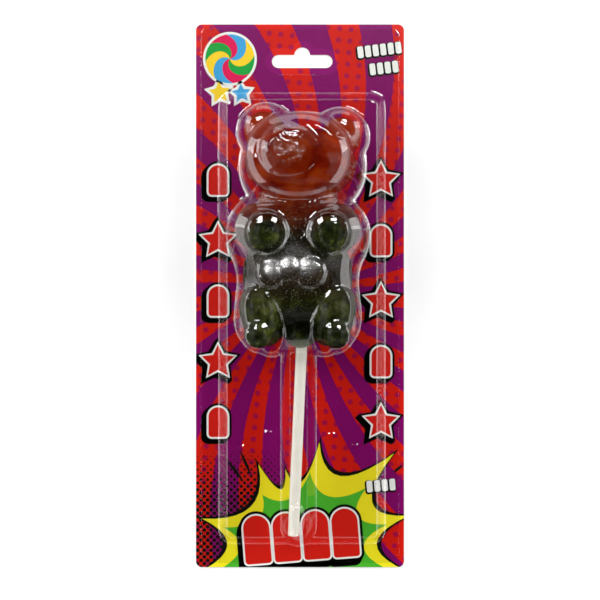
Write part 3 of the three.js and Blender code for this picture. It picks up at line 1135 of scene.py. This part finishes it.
def cup_outline(inset, sides=48):
    """A narrow oval about the stick's end, longer below than above."""
    half = CUP["half"] - inset
    return [
        (CUP["x"] + half * c, CUP["y"] + half * CUP["low" if s < 0 else "high"] * s) for c, s in circle(sides)
    ]


def film_forms():
    """The domes run together into one rounded solid."""
    bm = bmesh.new()
    for name in DOMES:
        dome_mesh(bm, name)
    trunk_mesh(bm)
    forms = object_from("forms", bm)
    melt(forms, FILM_VOXEL, FORM_PASSES)
    return forms


def make_film():
    """One skin over the domes, the tray, the ridge and the flange, then given its thickness."""
    forms = film_forms()
    bm = bmesh.new()
    bm.from_mesh(forms.data)
    bpy.data.objects.remove(forms)
    slab = rounded_rectangle(0, 0, CARD_WIDTH + SLAB_BORDER, CARD_HEIGHT + SLAB_BORDER, 2.0, 3)
    stack(bm, ((slab, FLANGE_BACK - SLAB_DEPTH), (slab, FLANGE_FRONT)))
    panel_mesh(bm, tray_outline, FLANGE_BACK, TRAY["top"], TRAY["draft"])
    panel_mesh(bm, channel_outline, FLANGE_BACK, CHANNEL["top"], CHANNEL["draft"])
    panel_mesh(bm, cup_outline, CHANNEL["top"] - SUNK, CUP["top"], CUP["draft"])
    radii = Vector((BUMPS["radius"], BUMPS["radius"], BUMPS["rise"])) * MM
    for x, y in BUMPS["places"]:
        matrix = Matrix.Translation(Vector((x, y, TRAY["top"])) * MM) @ Matrix.Diagonal((*radii, 1.0))
        bmesh.ops.create_icosphere(bm, subdivisions=3, radius=1.0, matrix=matrix)
    piece = object_from("blister_film", bm)
    melt(piece, FILM_VOXEL, FILM_PASSES)
    trim_film(piece)
    shape_with(piece, "DECIMATE", decimate_type="COLLAPSE", ratio=0.5)
    shape_with(piece, "SOLIDIFY", thickness=FILM * MM, offset=-1.0)
    return piece


def trim_film(piece):
    """Cuts the film to its outline, with the slot out, and leaves only its front skin."""
    outline = rounded_rectangle(
        0, 0, CARD_WIDTH - 2 * FLANGE_BORDER, CARD_HEIGHT - 2 * FLANGE_BORDER, CARD_CORNER)
    cut_level = FLANGE_FRONT - 0.2
    trim = plates("trim", [outline], cut_level, CLEAR - 10)
    combine(trim, plates("slot", [hanging_slot(SLOT_MARGIN)], cut_level - 1, CLEAR), "DIFFERENCE", "EXACT")
    combine(piece, trim, "INTERSECT")
    bm = bmesh.new()
    bm.from_mesh(piece.data)
    bm.normal_update()
    doomed = [
        face for face in bm.faces
        if max(v.co.z for v in face.verts) < (cut_level + 0.01) * MM
        or (face.calc_center_median().z < (FLANGE_FRONT - 0.02) * MM and abs(face.normal.z) < 0.3)
    ]
    bmesh.ops.delete(bm, geom=doomed, context="FACES")
    bm.to_mesh(piece.data)
    bm.free()


def film_material():
    """Clear film: it lets nearly all light through and mirrors the lights where it tilts."""
    s = Shader("clear_film")
    x, y, z = s.parts(s.place())
    high = s.spread(z, 0.030, 0.034)
    spots = {name: s.spots(x, y, columns) for name, columns in FILM_SPOTS.items()}
    belly = s.times(spots["belly"], high)
    muzzle = s.times(spots["muzzle"], high)
    rippled = s.times(s.most(spots["shoulders"], s.times(spots["legs"], 0.5)), high)
    rippled = s.most(rippled, s.times(spots["ears"], 0.35))

    normal = s.bump(s.noise(0.08, 2.0), 0.12, 0.25)
    normal = s.bump(s.noise(0.26, 1.0, stretch=(0.5, 1.5, 1.0)), 0.8, s.times(rippled, 0.8), normal)
    normal = s.bump(s.noise(0.7, 2.0), 0.12, s.times(belly, 0.7), normal)
    normal = s.bump(s.noise(0.34, 2.0), 1.0, s.times(muzzle, 0.7), normal)
    marks = s.times(s.spread(s.noise(0.7, 2.0, 0.6), 0.62, 0.65), muzzle)
    specks = s.times(s.spread(s.noise(1.1, 1.0), 0.68, 0.72), spots["chest"], high)
    marks = s.most(marks, specks)
    rough = s.spread(s.most(belly, s.times(marks, 2.2)), 0.0, 1.0, 0.04, 0.24)

    # The mirrored share: more at grazing angles, along the feet of the domes, on the tray's walls
    # and on the belly, and less in the crotch and on some rims. The leg creases are broken up.
    facing = s.add("ShaderNodeLayerWeight", {"Blend": 0.5, "Normal": normal}).outputs["Facing"]
    share = s.math("ADD", 0.035, s.times(0.24, s.math("POWER", facing, 6.0)))
    foot = s.times(s.spread(z, 0.0092, 0.0096), s.spread(z, 0.014, 0.011), s.spread(y, -0.036, -0.031))
    side = s.spread(s.math("ABSOLUTE", x), 0.037, 0.0375)
    for where, more in ((foot, 5.5), (side, 0.4), (belly, 1.3)):
        share = s.times(share, s.math("ADD", 1.0, s.times(where, more)))
    dashes = s.spread(s.noise(0.3, 2.0), 0.44, 0.56, 0.15, 1.3)
    broken = s.times(spots["creases"], high, s.math("SUBTRACT", dashes, 1.0))
    rims = s.times(s.spread(y, 0.011, 0.007), spots["lobe_rims"])
    rims = s.most(s.times(s.most(rims, spots["paw_rims"]), high), spots["chin_and_side"])
    share = s.times(
        share,
        s.spread(s.times(spots["crotch"], high), 0.0, 1.0, 1.0, 0.15),
        s.math("ADD", 1.0, broken),
        s.spread(rims, 0.0, 1.0, 1.0, 0.3),
    )
    share = s.math("ADD", share, s.times(marks, 0.4), clamp=True)

    tint = s.mix(s.spread(z, 0.002, 0.006), *FILM_TINTS)
    clear = s.add("ShaderNodeBsdfTransparent", {"Color": tint})
    gloss = s.add("ShaderNodeBsdfGlossy", {"Color": (1, 1, 1, 1), "Roughness": rough, "Normal": normal})
    mixed = s.add("ShaderNodeMixShader", {0: share, 1: clear.outputs[0], 2: gloss.outputs[0]})
    return s.surface(mixed.outputs[0])


# Stage

def make_stage():
    bpy.ops.mesh.primitive_plane_add(size=16.0, location=(0, 0, 0))
    floor = bpy.context.object
    floor.name = "floor"
    s = Shader("floor_paper")
    grain = s.noise(0.02, 2.0)
    tone = s.mix(grain, (0.93, 0.93, 0.93), (0.96, 0.96, 0.96))
    paper = s.principled({"Base Color": tone, "Roughness": 0.9, "Specular IOR Level": 0.1})
    floor.data.materials.append(paper)


def make_camera():
    data = bpy.data.cameras.new("camera")
    data.sensor_width = SENSOR
    data.lens = SENSOR * CAMERA_HEIGHT / PICTURE_WIDTH
    data.clip_start = 0.01
    data.clip_end = 20.0
    camera = new_object("camera", data)
    camera.location = (PICTURE_CENTRE[0] * MM, PICTURE_CENTRE[1] * MM, (CAMERA_HEIGHT + CARD_FRONT) * MM)
    bpy.context.scene.camera = camera


def soft_light(name, azimuth, elevation, wide, tall, radiance, distance):
    """A rectangular light seen from the pack in a given direction. Angles and spans are in degrees."""
    a, e = radians(azimuth), radians(elevation)
    way = Vector((cos(e) * cos(a), cos(e) * sin(a), sin(e)))
    data = bpy.data.lights.new(name, "AREA")
    data.shape = "RECTANGLE"
    data.size = 2 * distance * tan(radians(wide / 2))
    data.size_y = 2 * distance * tan(radians(tall / 2))
    data.energy = radiance * pi * data.size * data.size_y
    light = new_object(name, data)
    light.location = Vector(LIGHTS_AIM) + way * distance
    light.rotation_euler = way.to_track_quat("Z", "Y").to_euler()


def make_lights():
    """Windows low at the sides and a few small lamps above them. Straight overhead stays dark."""
    for name, values in LIGHTS.items():
        soft_light(name, *values)
    world = bpy.data.worlds.new("world")
    bpy.context.scene.world = world
    world.use_nodes = True
    nodes, links = world.node_tree.nodes, world.node_tree.links
    place = nodes.new("ShaderNodeTexCoord")
    split = nodes.new("ShaderNodeSeparateXYZ")
    ramp = nodes.new("ShaderNodeValToRGB")
    stops = ramp.color_ramp.elements
    stops.new(0.5)
    for stop, (position, grey) in zip(stops, SKY_STOPS):
        stop.position = position
        stop.color = (grey, grey, grey, 1.0)
    links.new(place.outputs["Generated"], split.inputs[0])
    links.new(split.outputs["Z"], ramp.inputs[0])
    links.new(ramp.outputs["Color"], nodes["Background"].inputs["Color"])
    nodes["Background"].inputs["Strength"].default_value = SKY_STRENGTH


# Assembly

def attach(piece, material, node):
    """Gives a piece its look, and has it stand for a node of the frame."""
    finish_surface(piece, material)
    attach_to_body(piece, "root")
    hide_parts(node)


def main():
    finish_surface(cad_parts["card"], card_material(), smooth=False)
    for piece in make_print():
        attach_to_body(piece, "root")
    attach(make_bear(), bear_material(), "gummy_bear")
    stick = along_stick(STICK["radius"], 0, STICK_LENGTH, "lolly_stick", STICK["rounding"])
    attach(stick, stick_material(), "stick")
    film = make_film()
    attach(film, film_material(), "blister")
    film.data.set_sharp_from_angle(angle=radians(FILM_SHARP))
    make_stage()
    make_lights()
    make_camera()
    view = bpy.context.scene.view_settings
    view.view_transform = "Standard"
    view.look = "None"


main()
